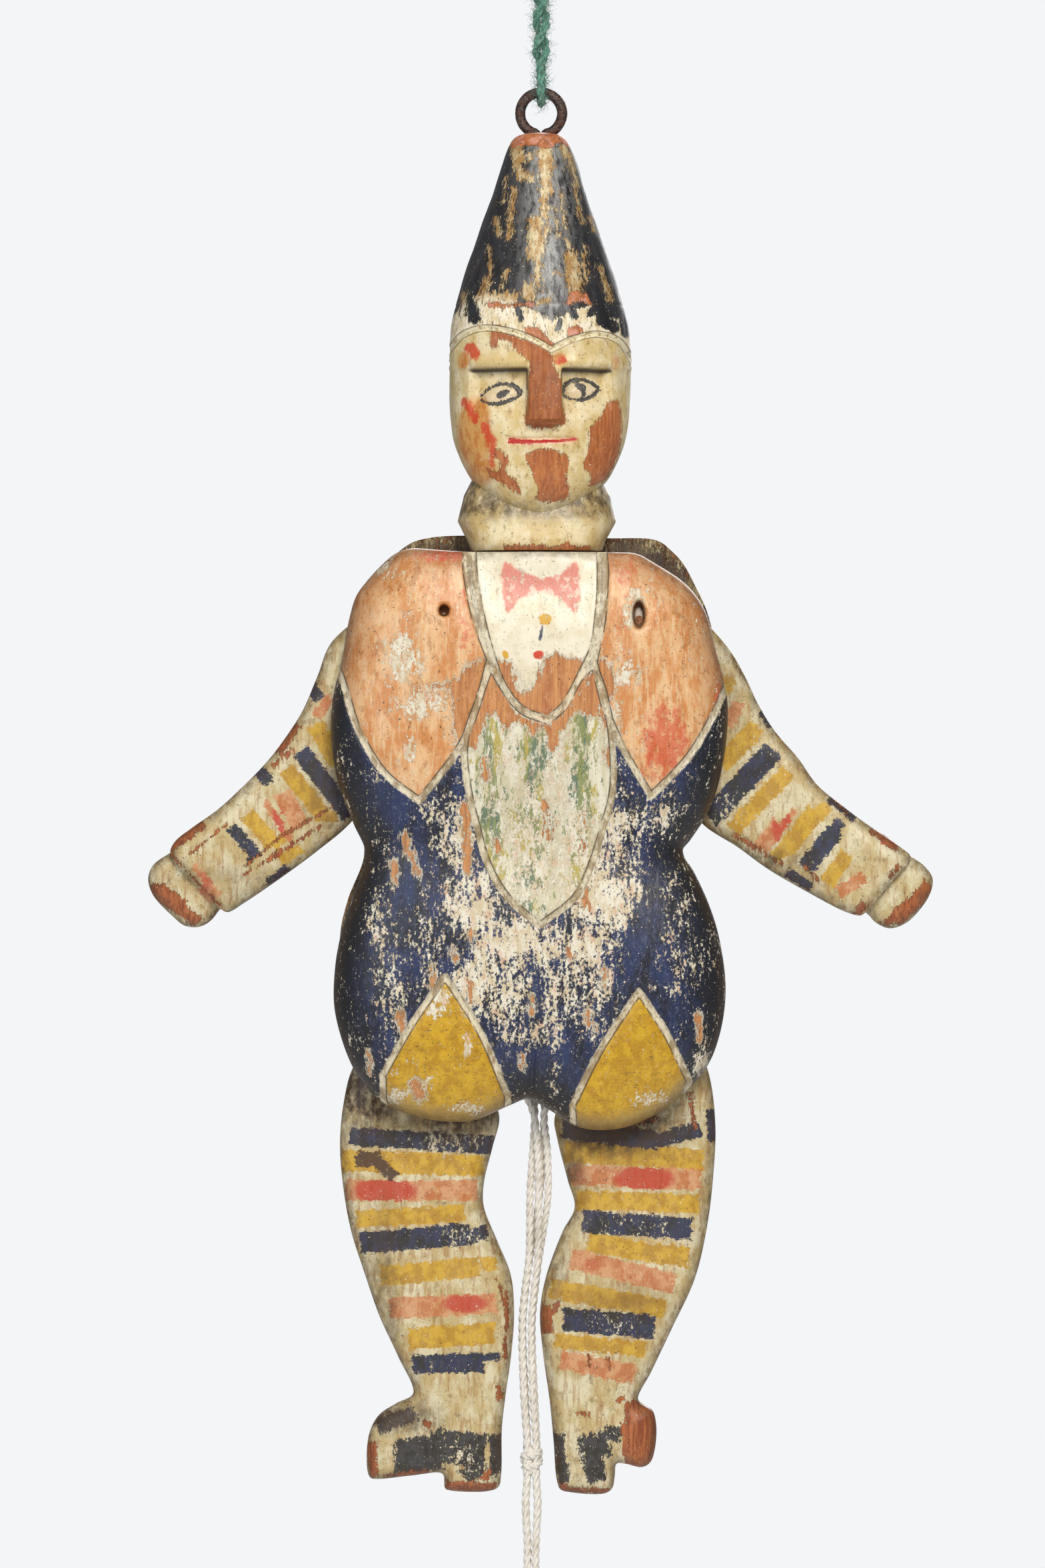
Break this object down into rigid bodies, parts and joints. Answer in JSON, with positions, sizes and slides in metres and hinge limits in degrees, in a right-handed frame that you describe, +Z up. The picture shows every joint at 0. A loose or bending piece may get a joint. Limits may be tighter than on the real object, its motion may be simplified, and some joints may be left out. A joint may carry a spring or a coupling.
{
  "type": "jumping jack puppet",
  "caption": "Carved, painted wooden jumping-jack clown in a tall cone hat; pull strings at the crotch swing its arms and legs up. Hangs from twine through an iron screw eye.",
  "frame": {"origin": "centre of the screw eye's ring, where the figure hangs", "axes": "+Z up along the figure, -Y out of its face, +X to the right of a viewer facing it"},
  "size_m": [0.206, 0.0455, 0.456],
  "materials": {
    "head_paint": "worn varnished paint over gesso, bare wood where it has flaked",
    "costume_paint": "worn varnished paint over gesso in navy, orange-pink, ivory and ochre",
    "back_wood": "grimy worn paint over wood",
    "arm_paint": "worn cream paint with navy, ochre and pink stripes",
    "leg_paint": "worn cream paint with navy, ochre and red stripes, black shoes",
    "inner_wood": "raw",
    "iron": "rusted",
    "green_twine": "faded twisted fibre",
    "cotton_string": "twisted cotton"
  },
  "bodies": {
    "torso": {"head": "head_paint", "screw_eye": "iron", "front_board": "costume_paint", "back_board": "back_wood", "waist_spacer_left": "inner_wood", "waist_spacer_right": "inner_wood", "arm_pin_left": "iron", "arm_pin_right": "iron", "leg_pin_left": "iron", "leg_pin_right": "iron", "hanging_twine": "green_twine", "twine_knot": "green_twine"},
    "arm_left": {"arm_left": "arm_paint"},
    "arm_right": {"arm_right": "arm_paint"},
    "leg_left": {"leg_left": "leg_paint"},
    "leg_right": {"leg_right": "leg_paint"},
    "pull_strings": {"arm_knot_left": "cotton_string", "arm_knot_right": "cotton_string", "leg_knot_left": "cotton_string", "leg_knot_right": "cotton_string", "arm_string_left": "cotton_string", "arm_string_right": "cotton_string", "leg_string_left": "cotton_string", "leg_string_right": "cotton_string", "arm_string_tail_left": "cotton_string", "arm_string_tail_right": "cotton_string", "leg_string_tail_left": "cotton_string", "leg_string_tail_right": "cotton_string", "pull_knot": "cotton_string", "end_knot": "cotton_string"}
  },
  "joints": [
    {"name": "pull", "type": "slide", "parent": "torso", "child": "pull_strings", "axis": [0, 0, -1], "range_m": [0, 0.0105]},
    {"name": "arm_left_swing", "type": "hinge", "parent": "torso", "child": "arm_left", "pos_m": [-0.0253, 0, -0.1309], "axis": [0, 1, 0], "range_deg": [0, 70]},
    {"name": "arm_right_swing", "type": "hinge", "parent": "torso", "child": "arm_right", "pos_m": [0.0254, 0, -0.1332], "axis": [0, -1, 0], "range_deg": [0, 70]},
    {"name": "leg_left_swing", "type": "hinge", "parent": "torso", "child": "leg_left", "pos_m": [-0.0268, 0, -0.2478], "axis": [0, 1, 0], "range_deg": [0, 45]},
    {"name": "leg_right_swing", "type": "hinge", "parent": "torso", "child": "leg_right", "pos_m": [0.0248, 0, -0.2427], "axis": [0, -1, 0], "range_deg": [0, 45]}
  ],
  "couplings": [
    {"joint": "arm_left_swing", "follows": "pull", "rad_per_m": 116.35},
    {"joint": "arm_right_swing", "follows": "pull", "rad_per_m": 116.35},
    {"joint": "leg_left_swing", "follows": "pull", "rad_per_m": 74.79},
    {"joint": "leg_right_swing", "follows": "pull", "rad_per_m": 74.79}
  ]
}
